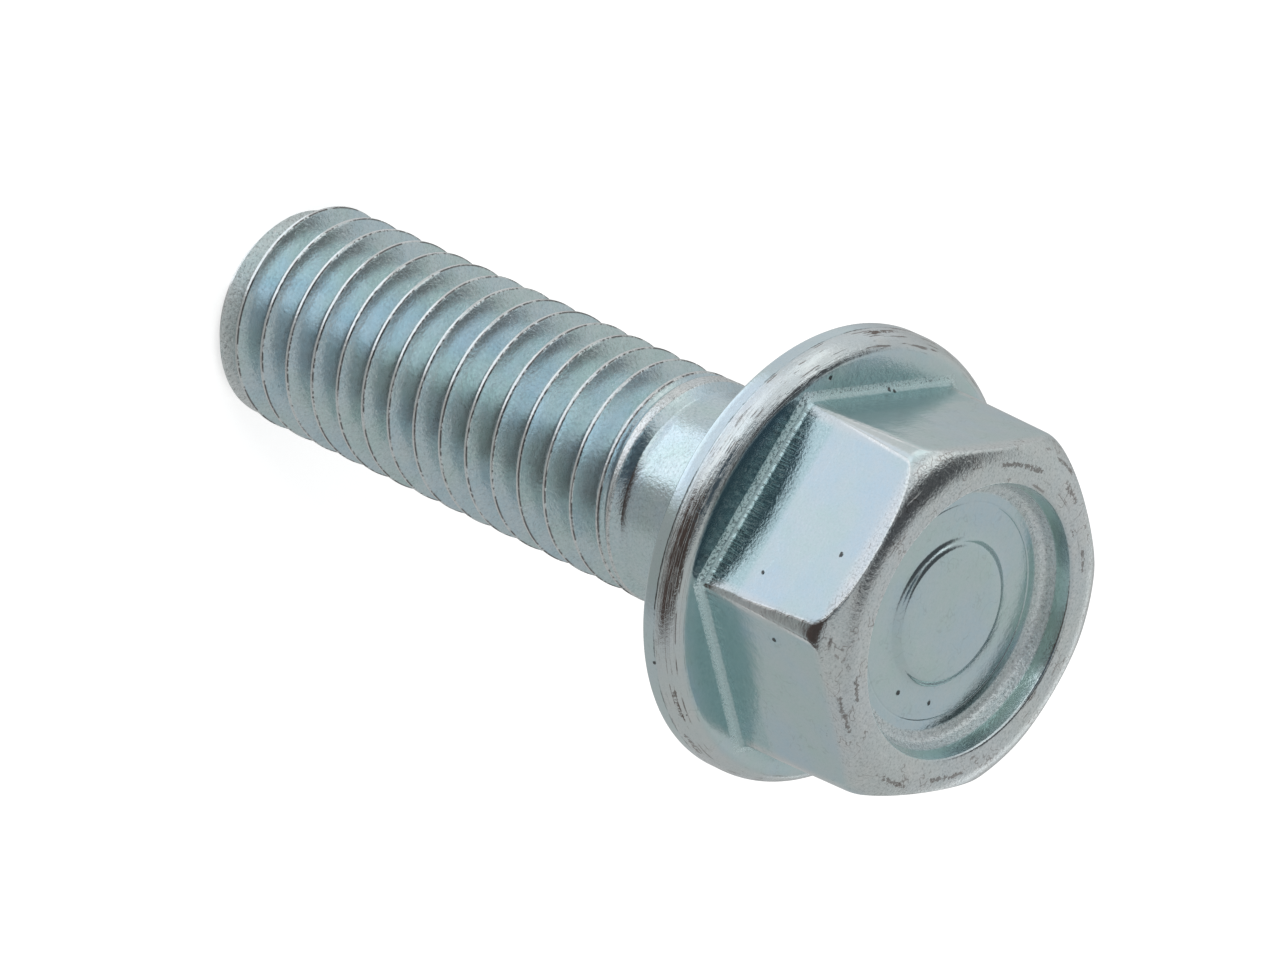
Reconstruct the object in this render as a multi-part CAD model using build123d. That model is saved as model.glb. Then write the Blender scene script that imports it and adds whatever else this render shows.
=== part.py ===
from build123d import *
import math
import os

# Flange bolt M8 x 25, cold forged in one piece: a hexagon head with a hollowed
# crown, a round flange under it, a plain neck and the shank that is threaded.
# The rolled thread is a fine one, so the shank here is its outside cylinder.
# Origin at the centre of the bearing face, +Z along the axis towards the head.
# All sizes are in millimetres and degrees.

# shank
shank_length = 25.0
crest_dia = 7.85
neck_length = 5.2
neck_dia = 7.2
neck_bevel = 0.35
neck_shoulder = 0.35
tip_dia = 6.7
tip_bevel = 0.65

# flange
flange_dia = 15.6
flange_height = 1.5
flange_lower_bevel = 0.15
flange_upper_round = 0.55

# hexagon, sharp at the foot and softer towards the crown
across_flats = 11.8
head_height = 7.2
foot_corner_radius = 0.06
crown_corner_radius = 1.2
foot_fillet = 0.3
crown_round = 1.6

# hollow in the crown, with a raised pad in its middle
hollow_dia = 9.45
hollow_floor_dia = 8.9
hollow_depth = 1.05
hollow_corner = 0.25
hollow_lip_bevel = 0.1
pad_dia = 5.0
pad_height = 0.18
pad_draft = 0.12

# what follows from those sizes
crest_r = crest_dia / 2
neck_r = neck_dia / 2
tip_r = tip_dia / 2
flange_r = flange_dia / 2
flat_r = across_flats / 2
corner_r = flat_r / math.cos(math.radians(30))
thread_end = -neck_length - neck_shoulder
mid_flange = flange_height / 2
hollow_r = hollow_dia / 2
hollow_floor_r = hollow_floor_dia / 2
hollow_floor = head_height - hollow_depth
pad_r = pad_dia / 2

# --- the turned shape of shank, neck and flange -------------------------------
with BuildPart() as blank:
    with BuildSketch(Plane.XZ) as half:
        with BuildLine():
            Polyline(
                (0, -shank_length),
                (tip_r, -shank_length),
                (crest_r, -shank_length + tip_bevel),
                (crest_r, thread_end),
                (neck_r, -neck_length),
                (neck_r, 0),
                (flange_r, 0),
                (flange_r, flange_height),
                (0, flange_height),
                close=True,
            )
        make_face()
        chamfer(half.vertices().sort_by_distance((neck_r, 0))[0], neck_bevel)
        chamfer(half.vertices().sort_by_distance((flange_r, 0))[0], flange_lower_bevel)
        fillet(half.vertices().sort_by_distance((flange_r, flange_height))[0], flange_upper_round)
    revolve(axis=Axis.Z)


def hexagon(height, corner_radius):
    """Hexagon across the flats at a height, with its corners rounded."""
    with BuildSketch(Plane.XY.offset(height)) as outline:
        RegularPolygon(flat_r, 6, major_radius=False)
        fillet(outline.vertices(), corner_radius)
    return outline.sketch.face()


prism = loft(
    [hexagon(mid_flange, foot_corner_radius), hexagon(head_height, crown_corner_radius)],
    ruled=True,
)
bolt = blank.part + prism

# the small fillet all round the foot of the hexagon
foot = bolt.edges().filter_by(
    lambda edge: mid_flange < edge.center().Z < flange_height + foot_fillet
    and math.hypot(edge.position_at(0.5).X, edge.position_at(0.5).Y) < corner_r
)
bolt = fillet(foot, foot_fillet)

# the crown is rounded over: a turned form takes the corners down
crown_foot = head_height - crown_round
below_tip = -2 * shank_length
with BuildPart() as crown:
    with BuildSketch(Plane.XZ):
        with BuildLine():
            Polyline(
                (corner_r, crown_foot),
                (2 * flange_r, crown_foot),
                (2 * flange_r, below_tip),
                (0, below_tip),
                (0, head_height),
                (corner_r - crown_round, head_height),
            )
            RadiusArc((corner_r - crown_round, head_height), (corner_r, crown_foot), crown_round)
        make_face()
    revolve(axis=Axis.Z)
bolt = bolt & crown.part

# the hollow: bevelled lip, drafted wall, bevelled corner, and the pad left standing
above = head_height + hollow_depth
with BuildPart() as hollow:
    with BuildSketch(Plane.XZ) as half:
        with BuildLine():
            Polyline(
                (0, hollow_floor + pad_height),
                (pad_r - pad_draft, hollow_floor + pad_height),
                (pad_r, hollow_floor),
                (hollow_floor_r, hollow_floor),
                (hollow_r, head_height),
                (hollow_r + 2 * hollow_lip_bevel, head_height),
                (hollow_r + 2 * hollow_lip_bevel, above),
                (0, above),
                close=True,
            )
        make_face()
        chamfer(half.vertices().sort_by_distance((hollow_floor_r, hollow_floor))[0], hollow_corner)
        chamfer(half.vertices().sort_by_distance((hollow_r, head_height))[0], hollow_lip_bevel)
    revolve(axis=Axis.Z)
bolt = bolt - hollow.part

bolt.label = "bolt"
os.makedirs("parts", exist_ok=True)
export_step(bolt, "parts/bolt.step")
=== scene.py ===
import math
import bmesh
import bpy
import numpy
from bpy.props import FloatProperty, FloatVectorProperty, IntProperty, PointerProperty
from mathutils import Matrix, Vector


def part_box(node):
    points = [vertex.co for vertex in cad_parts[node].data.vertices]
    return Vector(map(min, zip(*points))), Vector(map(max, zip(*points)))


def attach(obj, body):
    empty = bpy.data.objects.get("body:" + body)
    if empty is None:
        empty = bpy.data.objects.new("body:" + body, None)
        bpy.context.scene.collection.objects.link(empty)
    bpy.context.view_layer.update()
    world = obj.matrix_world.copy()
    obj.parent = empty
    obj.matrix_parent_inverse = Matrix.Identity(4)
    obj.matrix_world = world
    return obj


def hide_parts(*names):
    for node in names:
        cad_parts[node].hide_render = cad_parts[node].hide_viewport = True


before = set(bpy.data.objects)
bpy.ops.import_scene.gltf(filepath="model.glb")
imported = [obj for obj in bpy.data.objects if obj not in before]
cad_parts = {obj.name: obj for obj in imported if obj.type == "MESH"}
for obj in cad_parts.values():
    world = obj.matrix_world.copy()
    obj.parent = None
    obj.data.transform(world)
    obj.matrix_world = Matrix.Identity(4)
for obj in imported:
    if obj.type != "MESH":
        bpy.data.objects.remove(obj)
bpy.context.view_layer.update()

bl_info = {
    "name": "Flange bolt",
    "version": (1, 0, 0),
    "blender": (4, 5, 0),
    "location": "3D View > Sidebar > Flange bolt",
    "description": "Forged M8 flange bolt with a rolled thread, zinc plated, on a pale studio floor",
    "category": "Add Mesh",
}

MM = 0.001
NODE = "bolt"
BODY = "root"
node_low, node_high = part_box(NODE)

# The bolt is modelled in millimetres, because the edit operators' own tolerances
# are sized for pieces far larger than a thread; it is brought to metres at the end.
SHANK_LENGTH = -node_low.z / MM
HEAD_HEIGHT = node_high.z / MM
FLANGE_RADIUS = node_high.x / MM
# Points nearer to each other than this are one point, in millimetres
CLOSE = 1e-4
# Angle between the two flanks of a metric thread
FLANKS = math.radians(60)
# From the middle of a side of the hexagon to its corner, round the axis
HALF_SIDE = math.radians(30)
# Faces that meet at less than this angle are shaded as one smooth skin
SMOOTH_BELOW = math.radians(35)


# --- shader maths ---

class Sig:
    """A shader socket that can be used in sums; each operator adds the Math node it stands for."""

    def __init__(self, nodes, socket):
        self.nodes = nodes
        self.socket = socket

    def math(self, operation, *others, clamp=False):
        values = dict(enumerate([self, *others]))
        return self.nodes.add("Math", {"operation": operation, "use_clamp": clamp}, values)

    def __add__(self, other):
        return self.math("ADD", other)

    __radd__ = __add__

    def __sub__(self, other):
        return self.math("SUBTRACT", other)

    def __rsub__(self, other):
        return self.nodes.add("Math", {"operation": "SUBTRACT"}, {0: other, 1: self})

    def __mul__(self, other):
        return self.math("MULTIPLY", other)

    __rmul__ = __mul__

    def __truediv__(self, other):
        return self.math("DIVIDE", other)

    def clamp(self):
        return self.math("ADD", 0.0, clamp=True)

    def step(self, start, end):
        """Rises smoothly from 0 to 1 as the value goes from start to end, the higher or the lower."""
        low, high = (start, end) if start < end else (end, start)
        up = self.nodes.add(
            "MapRange", {"interpolation_type": "SMOOTHSTEP"},
            {"Value": self, "From Min": low, "From Max": high, "To Min": 0.0, "To Max": 1.0},
        )
        return up if start < end else 1 - up

    def band(self, low, high, soft):
        """1 between two values, falling softly to 0 outside them."""
        return self.step(low - soft, low + soft) * self.step(high + soft, high - soft)


class Nodes:
    """Adds nodes to one material or world."""

    def __init__(self, owner):
        owner.use_nodes = True
        self.tree = owner.node_tree
        self.tree.nodes.clear()

    def add(self, kind, settings=None, values=None, output=0):
        """A node of a type; its settings are set first, then the values or links of its sockets."""
        node = self.tree.nodes.new("ShaderNode" + kind)
        for key, value in (settings or {}).items():
            setattr(node, key, value)
        for key, value in (values or {}).items():
            socket = node.inputs[key]
            if isinstance(value, Sig):
                self.tree.links.new(value.socket, socket)
            elif socket.type == "RGBA":
                socket.default_value = (*value[:3], 1)
            else:
                socket.default_value = value
        return Sig(self, node.outputs[output] if node.outputs else None)

    def mix(self, factor, a, b):
        """Colour a where the factor is 0, b where it is 1."""
        return self.add("Mix", {"data_type": "RGBA"}, {0: factor, 6: a, 7: b}, output=2)

    def measure(self, operation, a, b):
        """The number that a dot product or a distance of two vectors gives."""
        return self.add("VectorMath", {"operation": operation}, {0: a, 1: b}, output=1)

    def outputs(self, node):
        """Every output of the node that a signal comes from."""
        return [Sig(self, socket) for socket in node.socket.node.outputs]

    def noise(self, place, scale, detail=2.0, roughness=0.5):
        """Noise centred on 0."""
        values = {"Vector": place, "Scale": scale, "Detail": detail, "Roughness": roughness}
        return self.add("TexNoise", {}, values) - 0.5

    def by_ray(self, camera, glossy, other):
        """A shader each for what the camera sees, for what is mirrored and for all other light."""
        camera_ray, _, _, glossy_ray = self.outputs(self.add("LightPath"))[:4]
        unseen = self.add("MixShader", {}, {0: glossy_ray, 1: other, 2: glossy})
        return self.add("MixShader", {}, {0: camera_ray, 1: unseen, 2: camera})

    def cone(self, direction, centre, inner, outer):
        """1 within the inner angle of a direction, falling to 0 at the outer one; angles in degrees."""
        along = self.measure("DOT_PRODUCT", direction, centre)
        return along.step(math.cos(math.radians(outer)), math.cos(math.radians(inner)))


# --- sizes and colours a user would change ---

def size(label, about, millimetres):
    """A length property, kept in metres and given here in millimetres."""
    return FloatProperty(
        name=label, description=about, default=millimetres * MM, subtype="DISTANCE", unit="LENGTH",
        precision=5,
    )


def turn_by(label, about, degrees):
    """An angle property, kept in radians and given here in degrees."""
    return FloatProperty(
        name=label, description=about, default=math.radians(degrees), subtype="ANGLE", unit="ROTATION"
    )


def count(label, about, number, low):
    return IntProperty(name=label, description=about, default=number, min=low)


def share(label, about, default):
    return FloatProperty(name=label, description=about, default=default, min=0, max=1, subtype="FACTOR")


def power(label, about, watts):
    return FloatProperty(
        name=label, description=about, default=watts, min=0, subtype="POWER", unit="POWER"
    )


def colour(label, about, rgb):
    return FloatVectorProperty(
        name=label, description=about, default=rgb, subtype="COLOR", size=3, min=0, max=1
    )


class ThreadSizes(bpy.types.PropertyGroup):
    """Sizes of the rolled thread and its two ends"""
    crest_diameter: size("Crest diameter", "Across the crests of the thread", 7.85)
    pitch: size("Pitch", "Rise of the thread in one turn", 1.25)
    crest_flat: size("Crest flat", "Width of the flat on each crest", 0.12)
    crest_round: size("Crest round", "Radius of the rolled edges of each crest", 0.05)
    root_radius: size("Root radius", "Radius of the rounded root", 0.18)
    tip_diameter: size("Tip diameter", "Across the flat end inside its bevel", 6.7)
    tip_bevel: size("Tip bevel", "Height of the bevel at the end", 0.65)
    root_runout: size("Root run-out", "Length over which the root rises to the last crest", 0.35)
    start_angle: turn_by("Start angle", "Where the thread starts, round the axis", -106.8)
    end_angle: turn_by("End angle", "Where the last whole crest ends, round the axis", 98.0)
    whole_length: size("Whole length", "From the tip to the end of the last whole crest", 18.28)
    steps: count("Steps", "Segments in one turn of the thread", 128, 24)


class HeadSizes(bpy.types.PropertyGroup):
    """Sizes of the neck, flange, hexagon and hollow"""
    neck_length: size("Neck length", "From the bearing face to the shoulder of the thread", 5.2)
    neck_diameter: size("Neck diameter", "Across the plain neck", 7.2)
    neck_fillet: size("Neck fillet", "Radius where the neck meets the bearing face", 0.35)
    neck_shoulder: size("Neck shoulder", "Height of the cone from the neck to the last crest", 0.35)
    flange_height: size("Flange height", "Thickness of the flange at the hexagon", 1.5)
    flange_lower_round: size("Lower round", "Radius at the flange's lower edge", 0.15)
    flange_upper_round: size("Upper round", "How far in the flange's upper edge is rounded", 0.55)
    flange_upper_drop: size("Upper drop", "How far down the flange's upper edge is rounded", 0.85)
    across_flats: size("Across flats", "Spanner size, as forged", 11.8)
    foot_corner_radius: size("Foot corner radius", "Corner radius of the hexagon at its foot", 0.06)
    crown_corner_radius: size("Crown corner radius", "Corner radius of the hexagon at the crown", 1.2)
    foot_fillet: size("Foot fillet", "Radius where the hexagon meets the flange", 0.3)
    crown_round: size("Crown round", "Radius that takes the corners of the crown down", 1.6)
    crown_edge: size("Crown edge", "Softness of the edge between flats and crown", 0.1)
    hollow_diameter: size("Hollow diameter", "Across the mouth of the hollow", 9.45)
    hollow_floor_diameter: size("Hollow floor diameter", "Across the floor of the hollow", 8.9)
    hollow_depth: size("Hollow depth", "Depth of the hollow below the crown", 1.05)
    hollow_corner: size("Hollow corner", "Radius between the wall and the floor", 0.3)
    hollow_lip: size("Hollow lip", "Radius of the lip of the hollow", 0.12)
    line_diameter: size("Line diameter", "Across the ring-shaped line on the floor of the hollow", 7.5)
    line_width: size("Line width", "Width of that line", 0.07)
    line_depth: size("Line depth", "Depth of that line", 0.015)
    pad_diameter: size("Pad diameter", "Across the raised pad in the hollow", 5.0)
    pad_height: size("Pad height", "Height of the pad above the floor", 0.18)
    columns: count("Columns", "Segments round each side of the hexagon", 60, 12)


class FinishColours(bpy.types.PropertyGroup):
    """Colours of the zinc plating and its thin passivate, and of the shade and highlight painted on it
    """
    zinc: colour("Zinc", "Plain reflection colour of the plating", (0.61, 0.70, 0.725))
    blue: colour("Blue passivate", "Where the passivate is thickest", (0.52, 0.685, 0.77))
    green: colour("Green passivate", "Where the passivate is thin", (0.54, 0.70, 0.68))
    rubbed: colour("Rubbed zinc", "Edges where the passivate is worn off", (0.725, 0.745, 0.735))
    # bare zinc of the high grains, and the colour of the painted highlight along the faces' edges
    bare_zinc_and_highlight: colour("Bare zinc", "Sharp edges and high grains", (0.93, 0.96, 0.96))
    # painted shade: a darker teal for the crease at the hexagon's foot, which the thread also takes in
    # random patches
    nook_shade: colour("Nooks", "Foot of the hexagon, where the passivate dries thick", (0.45, 0.63, 0.64))
    # painted shade: a darker, greener tint for the hollow's wall
    wall: colour("Wall", "Wall of the hollow", (0.50, 0.66, 0.60))
    stain: colour("Stains", "Brown stains in the scratches", (0.15, 0.115, 0.10))
    grit: colour("Grit", "Low grains of the rough forging", (0.16, 0.17, 0.17))
    speck: colour("Specks", "Small dark pits", (0.05, 0.045, 0.045))
    roughness: share("Roughness", "Blur of the plating's reflections", 0.12)


class StageSettings(bpy.types.PropertyGroup):
    """Where the camera stands and how bright the studio is"""
    aim: FloatVectorProperty(
        name="Aim", description="Point the camera looks at", default=(0.000882, -0.003678, -0.004694),
        subtype="TRANSLATION", unit="LENGTH", precision=5,
    )
    azimuth: turn_by("Azimuth", "Direction from the bolt to the camera, round the axis", -81.944)
    elevation: turn_by("Elevation", "Camera's height above the horizon", 39.282)
    roll: turn_by("Roll", "Turn of the camera about its own line of sight", 115.086)
    distance: size("Distance", "From the camera to the point it looks at", 316.194)
    lens: FloatProperty(name="Lens", description="Focal length in millimetres", default=272.493, min=1)
    fill: share("Fill", "Even light from all sides", 0.55)
    key_power: power("Key light", "Power of the softbox in front", 1.0)
    top_power: power("Top light", "Power of the softbox above", 0.5)


# --- modelling by hand, in code ---

def clear_selection():
    """Leaves edit mode and selects nothing, so that an operator acts only on what comes next."""
    if bpy.context.object and bpy.context.object.mode != "OBJECT":
        bpy.ops.object.mode_set(mode="OBJECT")
    bpy.ops.object.select_all(action="DESELECT")


def pick(piece):
    """Makes one piece the selected and active object."""
    clear_selection()
    piece.select_set(True)
    bpy.context.view_layer.objects.active = piece


def edit(piece):
    """Opens a piece in edit mode with all of it selected."""
    pick(piece)
    bpy.ops.object.mode_set(mode="EDIT")
    bpy.ops.mesh.select_mode(type="VERT")
    bpy.ops.mesh.select_all(action="SELECT")


def face_outwards():
    """Turns all faces outwards and leaves edit mode."""
    bpy.ops.mesh.select_all(action="SELECT")
    bpy.ops.mesh.normals_make_consistent(inside=False)
    clear_selection()


def apply_modifier(piece, kind, **settings):
    pick(piece)
    modifier = piece.modifiers.new(kind.title(), kind)
    for key, value in settings.items():
        setattr(modifier, key, value)
    bpy.ops.object.modifier_apply(modifier=modifier.name)


def combine(piece, tool, operation):
    """Joins or trims a closed piece by a closed tool, which is used up."""
    apply_modifier(piece, "BOOLEAN", operation=operation, object=tool, solver="EXACT")
    bpy.data.objects.remove(tool)


def draw_outline(name, points):
    """An open line of (radius, height) points, drawn by extruding one vertex from point to point."""
    clear_selection()
    bpy.ops.mesh.primitive_plane_add(size=1)
    piece = bpy.context.object
    piece.name = name
    edit(piece)
    bpy.ops.mesh.merge(type="CENTER")
    here = Vector()
    for radius, height in points:
        there = Vector((radius, 0, height))
        if here == Vector():
            bpy.ops.transform.translate(value=there)
        else:
            bpy.ops.mesh.extrude_vertices_move(TRANSFORM_OT_translate={"value": there - here})
        here = there
    clear_selection()
    return piece


def turn(name, points, columns):
    """A closed solid turned about the axis from an outline that starts and ends on it."""
    piece = draw_outline(name, points)
    edit(piece)
    bpy.ops.mesh.spin(steps=columns, angle=math.tau, center=(0, 0, 0), axis=(0, 0, 1))
    bpy.ops.mesh.select_all(action="SELECT")
    bpy.ops.mesh.remove_doubles(threshold=CLOSE)
    face_outwards()
    return piece


def arc(centre, radius, start, end, steps):
    """Points of an arc between two angles in degrees, measured from outwards to upwards."""
    angles = [math.radians(start + (end - start) * i / steps) for i in range(steps + 1)]
    return [(centre[0] + radius * math.cos(a), centre[1] + radius * math.sin(a)) for a in angles]


def soft_min(a, b, softness):
    """The smaller of two lengths, blended where they are nearly equal."""
    blend = max(softness - abs(a - b), 0) / softness
    return min(a, b) - blend * blend * softness / 4


def raise_rings(name, angles, rings):
    """A closed shell, raised from a circle by extruding it from ring to ring.

    Each ring is a function that gives its radius and its height at an angle.
    """
    clear_selection()
    bpy.ops.mesh.primitive_circle_add(vertices=len(angles), radius=1, fill_type="NGON")
    piece = bpy.context.object
    piece.name = name
    edit(piece)
    for number, ring in enumerate(rings):
        if number:
            bpy.ops.mesh.extrude_edges_move()
        mesh = bmesh.from_edit_mesh(piece.data)
        chosen = [vertex for vertex in mesh.verts if vertex.select]
        if not number:
            chosen.sort(key=lambda vertex: math.atan2(vertex.co.y, vertex.co.x) % math.tau)
            for vertex, angle in zip(chosen, angles):
                vertex.co = (math.cos(angle), math.sin(angle), 0)
        for vertex in chosen:
            angle = math.atan2(vertex.co.y, vertex.co.x)
            radius, height = ring(angle)
            vertex.co = (radius * math.cos(angle), radius * math.sin(angle), height)
        bmesh.update_edit_mesh(piece.data)
        if not number:
            bpy.ops.mesh.select_mode(type="EDGE")
    bpy.ops.mesh.edge_face_add()
    bpy.ops.mesh.poke()
    face_outwards()
    return piece


# --- the thread ---

def groove_outline(thread):
    """One pitch of the thread form, from the middle of a crest to the middle of the next."""
    crest_radius = thread.crest_diameter / 2 / MM
    pitch = thread.pitch / MM
    root_radius = thread.root_radius / MM
    softness = thread.crest_round / MM
    half_mouth = (pitch - thread.crest_flat / MM) / 2
    flank_slope = 1 / math.tan(FLANKS / 2)
    root_centre = crest_radius - half_mouth * flank_slope + root_radius / math.sin(FLANKS / 2)
    half_round = root_radius * math.cos(FLANKS / 2)

    def radius_at(height):
        height = abs(height)
        if height < half_round:
            return root_centre - math.sqrt(root_radius ** 2 - height ** 2)
        flank = crest_radius - (half_mouth - height) * flank_slope
        return soft_min(flank, crest_radius, softness)

    near_crest = [half_mouth + softness * part for part in (0.3, 0, -0.4, -1)]
    on_flank = [half_mouth - (half_mouth - half_round) * part for part in (0.35, 0.7, 1)]
    in_root = [half_round * part for part in (0.66, 0.33)]
    half = [pitch / 2] + near_crest + on_flank + in_root
    heights = [-h for h in half] + [0] + half[::-1]
    return [(radius_at(h), h) for h in heights]


def run_out(rod, thread):
    """Fills the groove above the last whole crest, which widens into the shoulder of the neck."""
    pitch = thread.pitch / MM
    crest_radius = thread.crest_diameter / 2 / MM
    mesh = bmesh.from_edit_mesh(rod.data)
    for vertex in mesh.verts:
        turned = (math.atan2(vertex.co.y, vertex.co.x) - thread.end_angle) % math.tau / math.tau
        start = thread.whole_length / MM - SHANK_LENGTH + pitch * turned
        rise = min(max((vertex.co.z - start) / (thread.root_runout / MM), 0), 1)
        rise = rise * rise * (3 - 2 * rise)
        radius = vertex.co.xy.length
        if radius > CLOSE:
            vertex.co.xy *= 1 + rise * (crest_radius / radius - 1)
    bmesh.update_edit_mesh(rod.data)


def make_thread(thread, head):
    """The threaded shank: one pitch is screwed up the axis, closed, and turned down to its tip."""
    pitch = thread.pitch / MM
    spare = 1.0
    top = -(head.neck_length + head.neck_shoulder) / MM
    turns = math.ceil((SHANK_LENGTH + top + 2 * spare) / pitch) + 2
    rod = draw_outline("thread", groove_outline(thread))
    edit(rod)
    # a groove whose middle lies at this height brings a crest to the tip at the start angle
    bottom = -SHANK_LENGTH + pitch / 2 - pitch * thread.start_angle / math.tau
    bottom -= pitch * math.ceil((bottom + SHANK_LENGTH + spare) / pitch + 0.5)
    bpy.ops.transform.translate(value=(0, 0, bottom))
    apply_modifier(
        rod, "SCREW", axis="Z", angle=math.tau, screw_offset=pitch, iterations=turns,
        steps=thread.steps, render_steps=thread.steps, use_merge_vertices=True, merge_threshold=CLOSE,
    )
    edit(rod)
    bpy.ops.mesh.remove_doubles(threshold=CLOSE)
    run_out(rod, thread)
    for height, upwards in ((-SHANK_LENGTH - spare / 2, False), (top + spare / 2, True)):
        bpy.ops.mesh.select_all(action="SELECT")
        bpy.ops.mesh.bisect(
            plane_co=(0, 0, height), plane_no=(0, 0, 1), use_fill=True, clear_inner=not upwards,
            clear_outer=upwards, threshold=CLOSE / 10,
        )
    face_outwards()

    tip_radius = thread.tip_diameter / 2 / MM
    crest_radius = thread.crest_diameter / 2 / MM
    bevel_rise = thread.tip_bevel / MM / (crest_radius - tip_radius)
    margin = 0.2
    outside = crest_radius + margin
    blank = turn(
        "blank",
        [
            (0, -SHANK_LENGTH),
            (tip_radius, -SHANK_LENGTH),
            (outside, -SHANK_LENGTH + (outside - tip_radius) * bevel_rise),
            (outside, top),
            (0, top),
        ],
        2 * thread.steps,
    )
    combine(rod, blank, "INTERSECT")
    return rod


# --- neck, flange, hexagon and hollow ---

class HeadForm:
    """The outside of the hexagon: its sides, and the turned form that rounds its crown over."""

    def __init__(self, head):
        self.flat = head.across_flats / 2 / MM
        self.low = head.flange_height / 2 / MM
        self.foot_corner = head.foot_corner_radius / MM
        self.crown_corner = head.crown_corner_radius / MM
        self.crown = head.crown_round / MM
        self.edge = head.crown_edge / MM
        corner = self.flat / math.cos(HALF_SIDE)
        self.crown_reach = corner - self.crown
        self.crown_start = HEAD_HEIGHT - self.crown
        self.crossings = {}

    def side(self, angle, height):
        """Distance from the axis to the side of the hexagon, whose corners soften towards the crown."""
        rise = (height - self.low) / (HEAD_HEIGHT - self.low)
        rounding = self.foot_corner + (self.crown_corner - self.foot_corner) * rise
        off = abs((angle + HALF_SIDE) % (2 * HALF_SIDE) - HALF_SIDE)
        centre = (self.flat - rounding) / math.cos(HALF_SIDE)
        tangent = math.atan2(rounding / 2, centre + rounding * math.cos(HALF_SIDE))
        if off > tangent:
            return self.flat / math.cos(HALF_SIDE - off)
        return centre * math.cos(off) + math.sqrt(rounding ** 2 - (centre * math.sin(off)) ** 2)

    def turned(self, height):
        """Distance from the axis to the turned form of the crown."""
        up = min(max(height - self.crown_start, 0), self.crown)
        return self.crown_reach + math.sqrt(self.crown ** 2 - up ** 2)

    def crossing(self, angle):
        """Height at which the side of the hexagon meets the crown, found by halving."""
        key = round(angle, 6)
        if key not in self.crossings:
            under, over = self.crown_start, HEAD_HEIGHT
            for _ in range(30):
                middle = (under + over) / 2
                if self.turned(middle) > self.side(angle, middle):
                    under = middle
                else:
                    over = middle
            self.crossings[key] = under
        return self.crossings[key]

    def outside(self, angle, height):
        return soft_min(self.side(angle, height), self.turned(height), self.edge), height

    def spread(self, angle, height):
        """How much longer a fillet looks from the axis where the side stands aslant to it."""
        step = 0.002
        change = self.side(angle + step, height) - self.side(angle - step, height)
        slope = change / (2 * step * self.side(angle, height))
        steepest = math.tan(HALF_SIDE)
        return math.sqrt(1 + max(min(slope, steepest), -steepest) ** 2)


def still(points):
    """Rings that are the same all round, from (radius, height) points."""
    return [lambda angle, point=point: point for point in points]


def between(start, end, steps):
    """Points evenly spaced on a line, without its start."""
    return [
        tuple(a + (b - a) * i / steps for a, b in zip(start, end))
        for i in range(1, steps + 1)
    ]


def neck_and_flange_rings(thread, head):
    """Rings from inside the thread, up the neck, outwards under the flange and up its rim."""
    crest_radius = thread.crest_diameter / 2 / MM
    root = min(radius for radius, _ in groove_outline(thread))
    neck = head.neck_diameter / 2 / MM
    neck_end = -head.neck_length / MM
    thread_end = neck_end - head.neck_shoulder / MM
    fillet = head.neck_fillet / MM
    top = head.flange_height / MM
    low = head.flange_lower_round / MM
    high = head.flange_upper_round / MM
    drop = head.flange_upper_drop / MM
    ease = 0.03
    # the first rings lie inside the threaded shank, which the head is joined to
    plug_inset, plug_depth, collar_inset, overlap = 0.2, 1.3, 0.25, 0.005
    points = [
        (root - plug_inset, thread_end - plug_depth),
        (neck - collar_inset, thread_end - ease),
        (crest_radius + overlap, thread_end - ease),
        (crest_radius, thread_end + ease),
        (neck + ease, neck_end - ease),
        (neck, neck_end + ease),
    ]
    points += between((neck, neck_end), (neck, -fillet), 12)
    points += arc((neck + fillet, -fillet), fillet, 180, 90, 6)[1:]
    points += between((neck + fillet, 0), (FLANGE_RADIUS - low, 0), 6)[:-1]
    points += arc((FLANGE_RADIUS - low, low), low, -90, 0, 4)
    points += between((FLANGE_RADIUS, low), (FLANGE_RADIUS, top - drop), 4)[:-1]
    points += [
        (FLANGE_RADIUS - high + high * x, top - drop + drop * y)
        for x, y in arc((0, 0), 1, 0, 90, 12)
    ]
    return still(points)


def hexagon_rings(head):
    """Rings over the flange, round its fillet, up the sides and over the crown."""
    form = HeadForm(head)
    top = head.flange_height / MM
    foot = head.foot_fillet / MM
    flange_edge = FLANGE_RADIUS - head.flange_upper_round / MM
    low_side = top + foot
    flange_steps, side_steps, crown_steps = 7, 14, 14
    # where rings lie round the edge between side and crown, in widths of that edge
    below_edge, on_edge, past_edge = 2, (-1.3, -0.8, -0.45, -0.15, 0.15), 0.6

    def foot_ring(turned):
        height = top + foot * (1 - math.cos(turned))
        across = foot * (1 - math.sin(turned))
        return lambda angle: (form.side(angle, height) + across * form.spread(angle, height), height)

    def flange_ring(part):
        first = foot_ring(0)
        return lambda angle: (flange_edge + part * (first(angle)[0] - flange_edge), top)

    def side_ring(part):
        return lambda angle: form.outside(
            angle, low_side + part * (form.crossing(angle) - below_edge * form.edge - low_side)
        )

    def edge_ring(offset):
        return lambda angle: form.outside(angle, form.crossing(angle) + offset * form.edge)

    def crown_ring(part):
        def ring(angle):
            start = math.asin((form.crossing(angle) - form.crown_start) / form.crown)
            start += past_edge * form.edge / form.crown
            turned = start + part * (math.pi / 2 - start)
            return form.outside(angle, form.crown_start + form.crown * math.sin(turned))
        return ring

    rings = [flange_ring(i / flange_steps) for i in range(1, flange_steps)]
    rings += [foot_ring(math.radians(turned)) for turned in range(0, 91, 15)]
    rings += [side_ring(i / side_steps) for i in range(1, side_steps + 1)]
    rings += [edge_ring(offset) for offset in on_edge]
    rings += [crown_ring(i / crown_steps) for i in range(crown_steps + 1)]
    return rings


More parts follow.
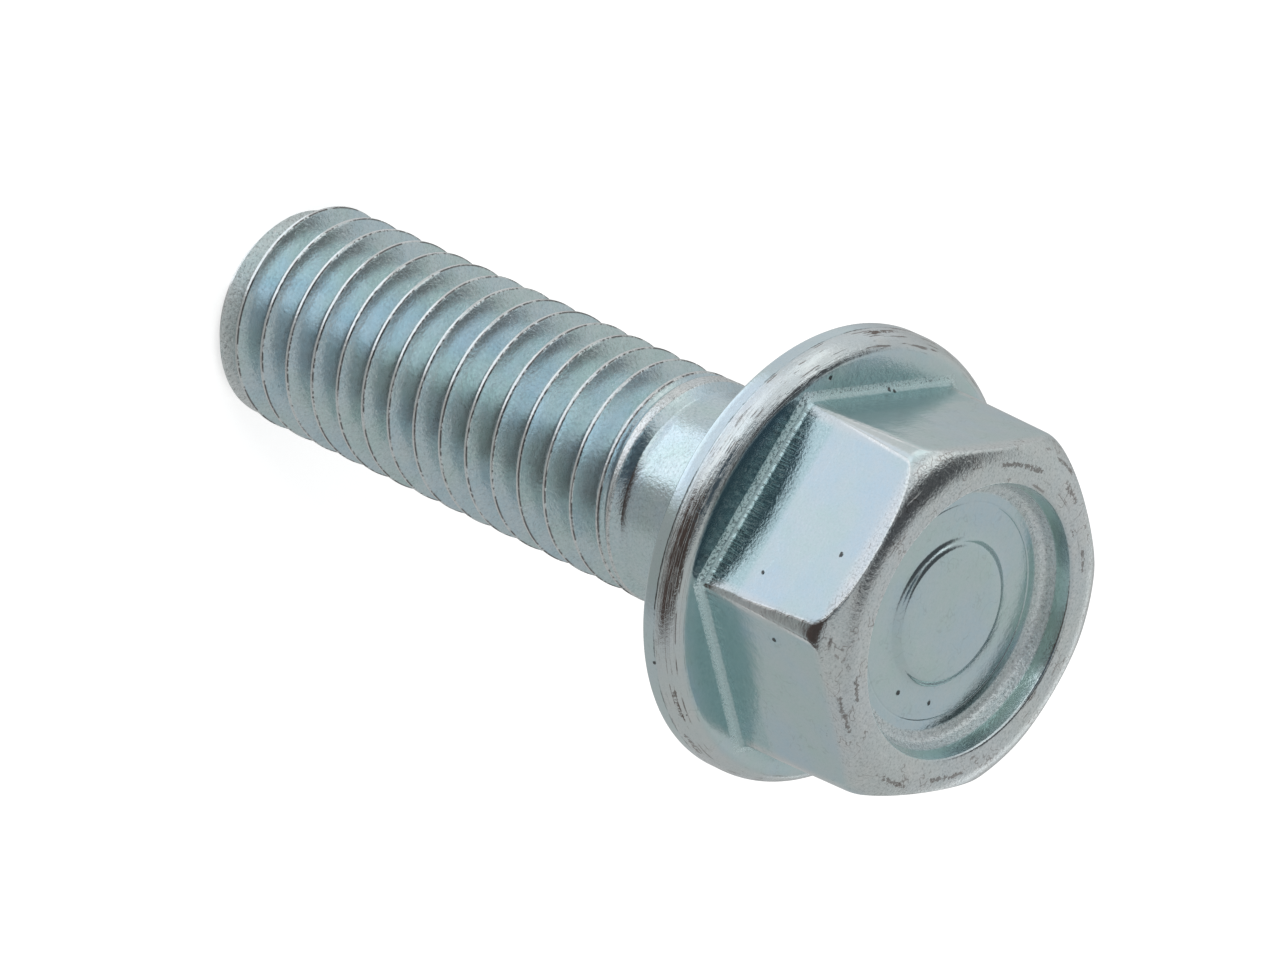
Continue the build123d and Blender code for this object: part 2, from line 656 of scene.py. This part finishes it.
def hollow_rings(head):
    """Rings over the lip, down the wall and over the floor to the pad."""
    mouth = head.hollow_diameter / 2 / MM
    foot = head.hollow_floor_diameter / 2 / MM
    depth = head.hollow_depth / MM
    floor = HEAD_HEIGHT - depth
    lip = head.hollow_lip / MM
    bend = head.hollow_corner / MM
    lean = math.atan2(mouth - foot, depth)
    lip_centre = (mouth - lip * math.tan(lean) + lip / math.cos(lean), HEAD_HEIGHT - lip)
    bend_centre = (foot + bend * math.tan(lean) - bend / math.cos(lean), floor + bend)
    lean = math.degrees(lean)
    line = head.line_diameter / 2 / MM
    half_line = head.line_width / 2 / MM
    line_floor = floor - head.line_depth / MM
    ease = 0.02
    pad = head.pad_diameter / 2 / MM
    rise = head.pad_height / MM
    bend_ease, pad_ease, middle = 0.47, 0.12, 0.6
    # the pad's edge: how far in each ring lies, and the share of the rise that it reaches
    slope = ((-0.03, 0.11), (0.06, 0.5), (0.13, 0.89), (0.22, 1))
    points = [(lip_centre[0] + lip, HEAD_HEIGHT)]
    points += arc(lip_centre, lip, 90, 180 - lean, 6)
    points += arc(bend_centre, bend, -lean, -90, 7)
    points += [
        (foot - bend_ease, floor),
        (line + half_line + ease, floor),
        (line + half_line, floor),
        (line + ease / 2, line_floor),
        (line - ease / 2, line_floor),
        (line - half_line, floor),
        (line - half_line - ease, floor),
    ]
    points += between((line - half_line - ease, floor), (pad + pad_ease, floor), 3)
    points += [(pad - inset, floor + rise * up) for inset, up in slope]
    points += between(points[-1], (middle, floor + rise), 3)
    return still(points)


def column_angles(columns):
    """Angles round the axis, closer together at the six corners."""
    crowding = 0.4
    angles = []
    for corner in range(6):
        for i in range(columns):
            u = 2 * i / columns - 1
            off_corner = 30 * u * (crowding + (1 - crowding) * u * u)
            angles.append(math.radians(60 * corner + off_corner) % math.tau)
    return sorted(angles)


def make_head(thread, head):
    """Neck, flange and hollow hexagon head, raised as rings from inside the thread to the pad."""
    rings = neck_and_flange_rings(thread, head) + hexagon_rings(head) + hollow_rings(head)
    return raise_rings("flange_bolt", column_angles(head.columns), rings)


# --- zinc plating ---

# Places of the dark specks, in millimetres
SPECKS = (
    (3.91, -5.03, 4.54), (6.2, -4.72, 0.52), (3.09, -0.13, 6.15), (0.64, -5.9, 5.85), (2.23, -5.9, 3.46),
    (-4.5, -5.47, 1.5), (2.73, 1.56, 6.15), (-5.42, -2.65, 1.59), (-5.48, -2.45, 1.66),
)
# Scratches that run round the axis: the angle where each starts, how far round it goes, in degrees,
# and its radius and height, in millimetres
SCRATCHES = (
    (-41, 10, 5.96, 6.25), (-40, 6, 5.88, 7.05), (-33, 7, 5.8, 7.08), (-15, 3, 6.16, 6.54),
    (-45, 9, 5.28, 7.2), (-27, 8, 5.95, 6.2), (162, 9, 5.52, 7.16), (149, 9, 5.03, 7.2),
    (134, 8, 5.23, 7.2), (-160, 10, 5.37, 7.2), (-172, 10, 5.36, 7.2), (171, 9, 6.05, 6.96),
    (-30, 9, 7.75, 1.14), (-14, 8, 7.79, 0.87), (-156, 9, 7.79, 0.92), (-167, 9, 7.8, 0.65),
    (2, 12, 5.74, 7.1), (25, 16, 5.41, 7.19),
)
# How far from its arc a scratch can show, in millimetres
SCRATCH_REACH = 0.28


def mark_scratches(piece):
    """Stores on each vertex how near it lies to a scratch: 1 on one, 0 beyond its reach."""
    places = numpy.empty(3 * len(piece.data.vertices))
    piece.data.vertices.foreach_get("co", places)
    x, y, z = places.reshape(-1, 3).T / MM
    reach = numpy.hypot(x, y)
    angle = numpy.degrees(numpy.arctan2(y, x))
    nearness = numpy.zeros(len(z))
    for start, sweep, radius, height in SCRATCHES:
        off_middle = (angle - start - sweep / 2 + 180) % 360 - 180
        past_end = numpy.radians(numpy.maximum(numpy.abs(off_middle) - sweep / 2, 0)) * radius
        away = numpy.sqrt((reach - radius) ** 2 + (z - height) ** 2 + past_end ** 2)
        nearness = numpy.maximum(nearness, 1 - away / SCRATCH_REACH)
    layer = piece.data.attributes.new("scratches", "FLOAT", "POINT")
    layer.data.foreach_set("value", nearness)


class Spot:
    """Where a shaded point lies, in millimetres, and the regions that it lies in, each from 0 to 1."""

    def __init__(self, nodes, thread, head):
        metres = nodes.add("TexCoord", output=3)
        self.place = nodes.add("VectorMath", {"operation": "SCALE"}, {0: metres, "Scale": 1 / MM})
        self.x, self.y, self.z = nodes.outputs(nodes.add("SeparateXYZ", {}, {0: self.place}))
        self.reach = (self.x * self.x + self.y * self.y).math("SQRT")
        self.find_shank(thread, head)
        self.find_flange()
        self.find_hexagon(head)
        self.find_crown(head)

    def find_shank(self, thread, head):
        z = self.z
        thread_end = -(head.neck_length + head.neck_shoulder) / MM
        bevel_end = thread.tip_bevel / MM - SHANK_LENGTH
        pitch = thread.pitch / MM
        past_crest = self.reach - thread.crest_diameter / 2 / MM
        turned = (self.y.math("ARCTAN2", self.x) - thread.start_angle) / math.tau
        # height above or below the middle of the nearest crest
        off_crest = ((z + SHANK_LENGTH) / pitch - turned + 0.5).math("FRACT") * pitch - pitch / 2
        self.threaded = z.step(thread_end + 0.05, thread_end - 0.25)
        self.tip = z.step(bevel_end + 0.1, bevel_end - 0.05)
        self.on_crest = self.threaded * past_crest.step(-0.07, -0.02) * off_crest.step(0.10, 0.05)
        self.beside_crest = self.threaded * past_crest.step(-0.1, -0.05)
        self.beside_crest *= off_crest.band(0.04, 0.08, 0.015)
        self.last_crest = z.band(thread_end - 1.05, thread_end + 0.3, 0.06)
        self.last_crest *= past_crest.step(-0.06, -0.03)

    def find_flange(self):
        self.rim = self.reach.step(FLANGE_RADIUS - 0.55, FLANGE_RADIUS - 0.3) * self.z.step(-0.2, 0)
        self.upper_rim = self.rim * self.z.step(0.58, 0.64)

    def find_hexagon(self, head):
        y, z = self.y, self.z
        top = head.flange_height / MM
        flat = head.across_flats / 2 / MM
        corner = flat / math.cos(HALF_SIDE)
        aslant, across = math.cos(HALF_SIDE) * self.x, 0.5 * y
        side = y.math("ABSOLUTE").math("MAXIMUM", (aslant + across).math("ABSOLUTE"))
        side = side.math("MAXIMUM", (aslant - across).math("ABSOLUTE"))
        outwards = self.reach.step(flat - 0.7, flat - 0.3)
        self.front = y.step(0.9 - flat, 0.1 - flat)
        off_rim = FLANGE_RADIUS - self.reach
        self.foot = z.band(top - 0.1, top + 0.6, 0.5) * outwards * off_rim.step(0.6, 0.9)
        # crease at the hexagon's foot, where a darker teal is painted as shade
        self.nook_shade = z.band(top - 0.08, top + 1.5, 0.15) * outwards * off_rim.step(0.65, 1.2)
        self.corner = self.reach.step(corner - 0.26, corner - 0.09)
        self.corner *= z.band(top + 0.3, HEAD_HEIGHT - 0.9, 0.1)
        # lower half of the fillet at the foot, its upper half, and the face just above it
        self.skirt = side.band(flat + 0.09, flat + 0.32, 0.03) * z.step(top + 0.25, top + 0.18)
        self.skirt *= z.step(top - 0.2, top - 0.05)
        self.ridge = side.band(flat + 0.03, flat + 0.1, 0.02) * z.band(top + 0.1, top + 0.3, 0.03)
        self.face_foot = side.step(flat + 0.08, flat + 0.03) * self.foot
        # band along the edge between each side and the crown, where bare zinc and a painted highlight
        # are laid
        self.edge_wear_and_highlight = side.band(flat - 0.036, flat - 0.012, 0.007) * z.step(top + 1.1, top + 2.1)

    def find_crown(self, head):
        reach, z = self.reach, self.z
        mouth = head.hollow_diameter / 2 / MM
        floor_radius = head.hollow_floor_diameter / 2 / MM
        floor = HEAD_HEIGHT - head.hollow_depth / MM
        hollow = reach.step(mouth + 0.025, mouth - 0.125) * z.step(floor - 0.25, floor - 0.1)
        self.crown = z.step(HEAD_HEIGHT - 0.95, HEAD_HEIGHT - 0.45)
        self.crown *= reach.step(mouth - 0.105, mouth + 0.075)
        # hollow's wall, where a darker, greener shade is painted
        self.wall = hollow * z.step(floor + 0.43, floor + 0.55)
        self.wall_foot = hollow * z.step(floor + 0.55, floor + 0.43)
        self.wall_foot *= reach.step(floor_radius - 0.43, floor_radius - 0.31)


class Grain:
    """The noises that the marks are drawn with, from broad to fine, each centred on 0."""

    def __init__(self, nodes, spot):
        x, y, z, reach = spot.x, spot.y, spot.z, spot.reach
        # hoops run round the axis, and rays run away from it
        hoops = nodes.add("CombineXYZ", {}, {0: reach, 1: z, 2: (x - y) * 0.05})
        rays = nodes.add("CombineXYZ", {}, {0: 6 * x / reach, 1: 6 * y / reach, 2: (z + reach) * 0.05})
        self.hoops = nodes.noise(hoops, 11, 3, 0.6)
        self.broad_hoops = nodes.noise(hoops, 6, 4, 0.7)
        self.rays = nodes.noise(rays, 9, 3, 0.6)
        self.drift = nodes.noise(spot.place, 0.35, 3, 0.55)
        self.hairs = nodes.noise(spot.place, 0.9, 3, 0.6)
        self.clusters = nodes.noise(spot.place, 0.9, 1)
        self.patches = nodes.noise(spot.place, 1.3, 3)
        self.wobble = nodes.noise(spot.place, 5, 2)
        self.dents = nodes.noise(spot.place, 6.5, 3, 0.7)
        self.coarse = nodes.noise(spot.place, 9, 3, 0.6)
        self.dots = nodes.noise(spot.place, 11, 3, 0.7)
        self.fine = nodes.noise(spot.place, 26, 2, 0.6)


class Marks:
    """What making and handling leave on the plating, with a painted highlight along the faces' edges,
    each mark from 0 to 1.
    """

    def __init__(self, nodes, spot, grain):
        patches = grain.patches
        rubbed = 0.8 * spot.crown + 0.55 * spot.upper_rim + 0.2 * spot.rim + 0.8 * spot.corner
        rubbed = rubbed + spot.on_crest + spot.last_crest + spot.tip + 0.7 * spot.wall_foot
        self.rubbed = (rubbed.clamp() * (0.8 + 1.2 * patches)).clamp()

        # seam that rolling leaves beside each crest
        torn = patches + 0.6 * grain.wobble + 0.8 * grain.coarse
        self.seam = spot.beside_crest * torn.step(-0.12, 0.04)

        # brown stains along the worn edges and in the scratches
        edge_wear = spot.crown * grain.broad_hoops.step(0.1, 0.17) * patches.step(-0.03, 0.08)
        rim_wear = spot.upper_rim * grain.hoops.step(0.08, 0.14) * patches.step(-0.08, 0.06)
        near = nodes.add("Attribute", {"attribute_name": "scratches"}, output=2)
        ragged = near + 1.3 * grain.coarse + 0.5 * grain.hoops
        scratches = ragged.step(0.68, 0.86) * near.step(0.2, 0.4)
        self.stains = (0.55 * edge_wear + 0.7 * rim_wear + 0.65 * scratches).clamp()

        # parting line of the forging die round the rim, and a bright line along the sharp edges of the
        # faces, partly bare zinc and partly a painted highlight that is strongest on the front face
        parting = (spot.z + 0.05 * grain.wobble + 0.03 * grain.coarse).band(0.55, 0.60, 0.02)
        self.parting = spot.rim * parting * (0.5 + 3 * patches + grain.coarse).clamp()
        broken = (0.55 + 2.5 * patches + 1.5 * grain.coarse).clamp()
        self.edge_wear_and_highlight = spot.edge_wear_and_highlight * (0.25 + 0.75 * spot.front) * broken

        # fine hairs, and the dark lines and pale strokes that the die draws down each face's foot
        hairs = grain.hairs.band(-0.008, 0.008, 0.006) * patches.step(-0.02, 0.05)
        self.hairs = hairs * (0.12 + 0.4 * spot.crown - 0.1 * spot.front)
        self.draw_lines = spot.face_foot * grain.rays.step(0.0, 0.1) * (0.15 + spot.front)
        self.strokes = spot.face_foot * grain.rays.step(-0.06, -0.12) * patches.step(-0.1, 0.05)

        # where the plating lies over a rough forging
        rough = 0.1 + 0.5 * (spot.crown + spot.last_crest) + 0.3 * spot.nook_shade
        rough = rough + spot.wall_foot + spot.tip + 0.3 * spot.z.step(0.0, -0.5)
        self.rough = rough.clamp()

        # dark specks, most of them scattered and a few placed
        cells = nodes.add("TexVoronoi", {"feature": "F1"}, {"Vector": spot.place, "Scale": 1.15})
        self.pits = cells.step(0.06, 0.035) * grain.clusters.step(0.08, 0.12)
        for speck in SPECKS:
            away = nodes.measure("DISTANCE", spot.place, speck) + 0.15 * grain.wobble
            self.pits = self.pits.math("MAXIMUM", away.step(0.1, 0.05))


def plating_colour(nodes, colours, spot, grain, marks):
    """The plating's colour, with each mark laid over it in turn, among them painted shade in the crease
    at the hexagon's foot and on the hollow's wall, and a painted highlight along the faces' edges.
    """
    tint = nodes.mix(grain.drift.step(-0.12, 0.12), colours.blue, colours.green)
    base = nodes.mix((0.55 + 1.2 * grain.patches + 0.9 * grain.coarse).clamp(), colours.zinc, tint)
    low_grains = grain.dots.step(0.02, 0.15) * marks.rough
    high_grains = grain.dots.step(-0.02, -0.2) * marks.rough
    for amount, shade in (
        # painted shade: darker teal in the crease at the hexagon's foot, and random patches of it on the
        # thread
        ((0.8 * spot.nook_shade + spot.threaded * grain.patches).clamp(), colours.nook_shade),
        (marks.rubbed, colours.rubbed),
        (0.9 * marks.seam, colours.speck),
        (marks.stains, colours.stain),
        (0.85 * marks.parting, colours.speck),
        # painted shade: a darker, greener tint on the hollow's wall
        (0.75 * spot.wall, colours.wall),
        # bright line along the faces' edges: partly bare zinc, partly a painted highlight, strongest on
        # the front face
        (0.8 * marks.edge_wear_and_highlight, colours.bare_zinc_and_highlight),
        (marks.hairs, colours.stain),
        ((0.5 * low_grains).clamp(), colours.grit),
        ((0.6 * high_grains).clamp(), colours.bare_zinc_and_highlight),
        (0.35 * marks.draw_lines, colours.speck),
        (0.9 * marks.pits, colours.speck),
    ):
        base = nodes.mix(amount, base, shade)
    return base


def plating_relief(spot, grain, marks):
    """Height of the skin in millimetres."""
    relief = (0.003 + 0.012 * (marks.rough + 0.3 * spot.z.step(1.0, 0.0)).clamp()) * grain.coarse
    relief = relief + 0.002 * grain.fine + 0.015 * grain.patches
    relief += 0.004 * grain.hoops.step(-0.03, 0.05) * (spot.upper_rim + spot.last_crest)
    dented = 0.3 * spot.crown + spot.wall_foot + 1.2 * spot.tip + 0.5 * spot.last_crest
    dented = dented + 0.35 * spot.upper_rim + spot.skirt + 0.25 * spot.foot
    relief += 0.03 * dented * grain.dents
    relief = relief + 0.008 * marks.draw_lines + 0.012 * marks.edge_wear_and_highlight
    return relief - 0.012 * marks.pits - 0.012 * marks.stains - 0.02 * marks.parting


def plating_roughness(colours, spot, grain, marks):
    satin = spot.z.step(0.0, -1.0) * (0.05 + 0.25 * grain.patches)
    worn = 0.04 * spot.crown + 0.12 * spot.tip + 0.16 * spot.wall_foot
    worn = worn + 0.2 * marks.stains + 0.2 * marks.pits
    return colours.roughness + satin + 0.1 * grain.coarse + worn


def plating_haze(spot, grain, marks):
    """How much of the skin scatters light instead of mirroring it."""
    haze = 0.15 * spot.threaded + 0.4 * spot.tip + 0.45 * spot.wall_foot + 0.3 * marks.edge_wear_and_highlight
    haze = haze + spot.skirt * grain.dots.step(-0.1, 0.06) + 0.35 * marks.strokes
    stippled = 0.6 * spot.ridge + 0.3 * spot.foot * grain.dots.step(0.0, 0.12)
    return (haze + spot.front * stippled).clamp()


def zinc_plating(colours, thread, head):
    """Bright zinc under a thin bluish passivate, with the grain and wear that each region picks up, and
    shade and highlights painted in some regions.
    """
    material = bpy.data.materials.new("zinc_plating")
    nodes = Nodes(material)
    spot = Spot(nodes, thread, head)
    grain = Grain(nodes, spot)
    marks = Marks(nodes, spot, grain)
    relief = plating_relief(spot, grain, marks)
    shader = nodes.add("BsdfPrincipled", {}, {
        "Base Color": plating_colour(nodes, colours, spot, grain, marks),
        "Metallic": 1 - plating_haze(spot, grain, marks),
        "Roughness": plating_roughness(colours, spot, grain, marks),
        "Normal": nodes.add("Bump", {}, {"Height": relief * MM, "Strength": 1.0, "Distance": 1.0}),
    })
    nodes.add("OutputMaterial", {}, {"Surface": shader})
    return material


def check_closed(piece):
    """Raises an error where the skin of the piece has a hole or a loose flap."""
    mesh = bmesh.new()
    mesh.from_mesh(piece.data)
    faults = sum(not edge.is_manifold for edge in mesh.edges)
    mesh.free()
    if faults:
        raise RuntimeError(f"{piece.name} is not closed: {faults} open edges")


class BOLT_OT_make(bpy.types.Operator):
    """Models the whole bolt as one piece and puts it in the place of the CAD solid"""
    bl_idname = "bolt.make"
    bl_label = "Make bolt"

    def execute(self, context):
        thread = context.scene.bolt_thread
        head = context.scene.bolt_head
        rod = make_thread(thread, head)
        piece = make_head(thread, head)
        combine(piece, rod, "UNION")
        check_closed(piece)
        edit(piece)
        bpy.ops.transform.resize(value=(MM, MM, MM), center_override=(0, 0, 0))
        pick(piece)
        bpy.ops.object.shade_smooth_by_angle(angle=SMOOTH_BELOW)
        clear_selection()
        mark_scratches(piece)
        piece.data.materials.clear()
        piece.data.materials.append(zinc_plating(context.scene.bolt_finish, thread, head))
        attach(piece, BODY)
        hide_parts(NODE)
        return {"FINISHED"}


# --- floor, light and camera ---

# What the bolt mirrors of the room and of the floor. Later patches lie over earlier ones.
# Room: azimuth and elevation of a patch's middle, the angles from it within which it is whole
# and beyond which it is gone, in degrees, and its colour.
ROOM_GREY = (0.51, 0.51, 0.51)
ROOM_PATCHES = (
    (150, 10, 30, 80, (0.60, 0.60, 0.60)),
    (90, -12, 14, 28, (1.2, 1.2, 1.2)),
    (-145, 12, 28, 52, (0.82, 0.82, 0.83)),
    (-108, 0, 12, 22, (1.2, 1.22, 1.26)),
    (-170, 38, 6, 16, (1.1, 1.1, 1.1)),
    (-159, -3, 6, 14, (1.2, 1.2, 1.2)),
    (-57, 3, 29, 37, (0.07, 0.05, 0.045)),
    (-93, 44, 18, 29, (0.065, 0.085, 0.105)),
    (158, 67, 20, 31, (0.08, 0.08, 0.085)),
)
# Floor: painted pools of light and painted shade, which glow where the bolt mirrors the paper: azimuth
# of a patch's middle and its two angles likewise, the distances from the axis over which it comes in, in
# millimetres, and its colour.
FLOOR_GREY = (0.50, 0.50, 0.50)
PAINTED_FLOOR_LIGHT_AND_SHADE = (
    (-150, 40, 70, None, (0.72, 0.72, 0.73)),
    (-110, 28, 36, None, (1.27, 1.31, 1.38)),
    (-110, 28, 36, (28, 40), (0.88, 0.89, 0.96)),
    (-48, 18, 28, None, (0.38, 0.38, 0.38)),
    (-112, 22, 32, (55, 75), (1.12, 1.12, 1.15)),
    (-159, 8, 16, (55, 75), (1.1, 1.1, 1.1)),
    (-52, 28, 36, (47, 62), (0.08, 0.055, 0.05)),
)
PAPER = (0.8, 0.8, 0.8)
WHITE = (1, 1, 1)


def direction_to(azimuth, elevation):
    """Unit vector that points to an azimuth and an elevation, in radians."""
    level = math.cos(elevation)
    return Vector((math.cos(azimuth) * level, math.sin(azimuth) * level, math.sin(elevation)))


def floor_paper(settings):
    """White paper with the bolt's soft shadow, which glows in painted patches of light and shade where
    the bolt mirrors it.
    """
    material = bpy.data.materials.new("floor_paper")
    nodes = Nodes(material)
    place = nodes.add("TexCoord", output=3)
    outwards = nodes.add("VectorMath", {"operation": "NORMALIZE"}, {0: place})
    away = nodes.add("VectorMath", {"operation": "LENGTH"}, {0: place}, output=1)
    shade = FLOOR_GREY
    for azimuth, inner, outer, distances, tint in PAINTED_FLOOR_LIGHT_AND_SHADE:
        amount = nodes.cone(outwards, direction_to(math.radians(azimuth), 0), inner, outer)
        if distances:
            amount = amount * away.step(distances[0] * MM, distances[1] * MM)
        shade = nodes.mix(amount, shade, tint)
    paper = nodes.add("BsdfDiffuse", {}, {"Color": PAPER})
    glow = nodes.add("Emission", {}, {"Color": WHITE, "Strength": settings.fill})
    lit = nodes.add("AddShader", {}, {0: paper, 1: glow})
    # painted light and shade: the paper that the bolt mirrors glows in patches instead of being lit by
    # the lamps
    mirrored = nodes.add("Emission", {}, {"Color": shade, "Strength": 1.0})
    nodes.add("OutputMaterial", {}, {"Surface": nodes.by_ray(lit, mirrored, paper)})
    return material


def studio_world(settings):
    """White room with even light, which the bolt mirrors as a grey one with bright and dark patches."""
    world = bpy.data.worlds.new("studio")
    nodes = Nodes(world)
    direction = nodes.add("TexCoord", output=0)
    shade = ROOM_GREY
    for azimuth, elevation, inner, outer, tint in ROOM_PATCHES:
        centre = direction_to(math.radians(azimuth), math.radians(elevation))
        shade = nodes.mix(nodes.cone(direction, centre, inner, outer), shade, tint)
    lighting = nodes.add("Background", {}, {"Color": WHITE, "Strength": settings.fill})
    mirrored = nodes.add("Background", {}, {"Color": shade, "Strength": 1.0})
    white = nodes.add("Background", {}, {"Color": WHITE, "Strength": 1.0})
    nodes.add("OutputWorld", {}, {"Surface": nodes.by_ray(white, mirrored, lighting)})
    return world


def add_floor(settings):
    bpy.ops.mesh.primitive_grid_add(
        size=2, x_subdivisions=8, y_subdivisions=8, location=(0, 0, node_low.z)
    )
    floor = bpy.context.object
    floor.name = "studio_floor"
    floor.data.materials.append(floor_paper(settings))


def add_camera(settings):
    away = direction_to(settings.azimuth, settings.elevation)
    bpy.ops.object.camera_add(location=Vector(settings.aim) + away * settings.distance)
    camera = bpy.context.object
    look = away.to_track_quat("Z", "Y").to_matrix()
    camera.rotation_euler = (look @ Matrix.Rotation(settings.roll, 3, "Z")).to_euler()
    camera.data.lens = settings.lens
    camera.data.sensor_width = 36
    camera.data.clip_start = 0.01
    bpy.context.scene.camera = camera


def add_softbox(name, spot, width, power):
    """A square lamp that points at the origin and isn't mirrored."""
    bpy.ops.object.light_add(type="AREA", location=spot)
    lamp = bpy.context.object
    lamp.name = name
    lamp.data.size = width
    lamp.data.energy = power
    lamp.rotation_euler = Vector(spot).to_track_quat("Z", "Y").to_euler()
    lamp.visible_glossy = False


class BOLT_OT_stage(bpy.types.Operator):
    """Adds the pale floor, the soft light and the camera"""
    bl_idname = "bolt.stage"
    bl_label = "Set the stage"

    def execute(self, context):
        settings = context.scene.bolt_stage
        clear_selection()
        add_floor(settings)
        add_camera(settings)
        add_softbox("key_softbox", (-0.25, -0.45, 0.35), 0.35, settings.key_power)
        add_softbox("top_softbox", (0.25, 0.25, 0.6), 0.4, settings.top_power)
        context.scene.world = studio_world(settings)
        context.scene.view_settings.view_transform = "Standard"
        return {"FINISHED"}


# --- panel and run ---

class BOLT_PT_panel(bpy.types.Panel):
    """Lists the settings and what is made from them"""
    bl_label = "Flange bolt"
    bl_space_type = "VIEW_3D"
    bl_region_type = "UI"
    bl_category = "Flange bolt"

    def draw(self, context):
        self.layout.use_property_split = True
        for operator, groups in (
            (BOLT_OT_make, {"bolt_thread": "Thread", "bolt_head": "Head", "bolt_finish": "Plating"}),
            (BOLT_OT_stage, {"bolt_stage": "Studio"}),
        ):
            box = self.layout.box()
            for group, title in groups.items():
                settings = getattr(context.scene, group)
                box.label(text=title)
                for name in settings.__annotations__:
                    box.prop(settings, name)
            box.operator(operator.bl_idname)


SETTINGS = {
    "bolt_thread": ThreadSizes,
    "bolt_head": HeadSizes,
    "bolt_finish": FinishColours,
    "bolt_stage": StageSettings,
}
CLASSES = (*SETTINGS.values(), BOLT_OT_make, BOLT_OT_stage, BOLT_PT_panel)


def register():
    for cls in CLASSES:
        bpy.utils.register_class(cls)
    for name, group in SETTINGS.items():
        setattr(bpy.types.Scene, name, PointerProperty(type=group))


def unregister():
    for name in SETTINGS:
        delattr(bpy.types.Scene, name)
    for cls in reversed(CLASSES):
        bpy.utils.unregister_class(cls)


def main():
    register()
    bpy.ops.bolt.make()
    bpy.ops.bolt.stage()


if __name__ == "__main__":
    main()
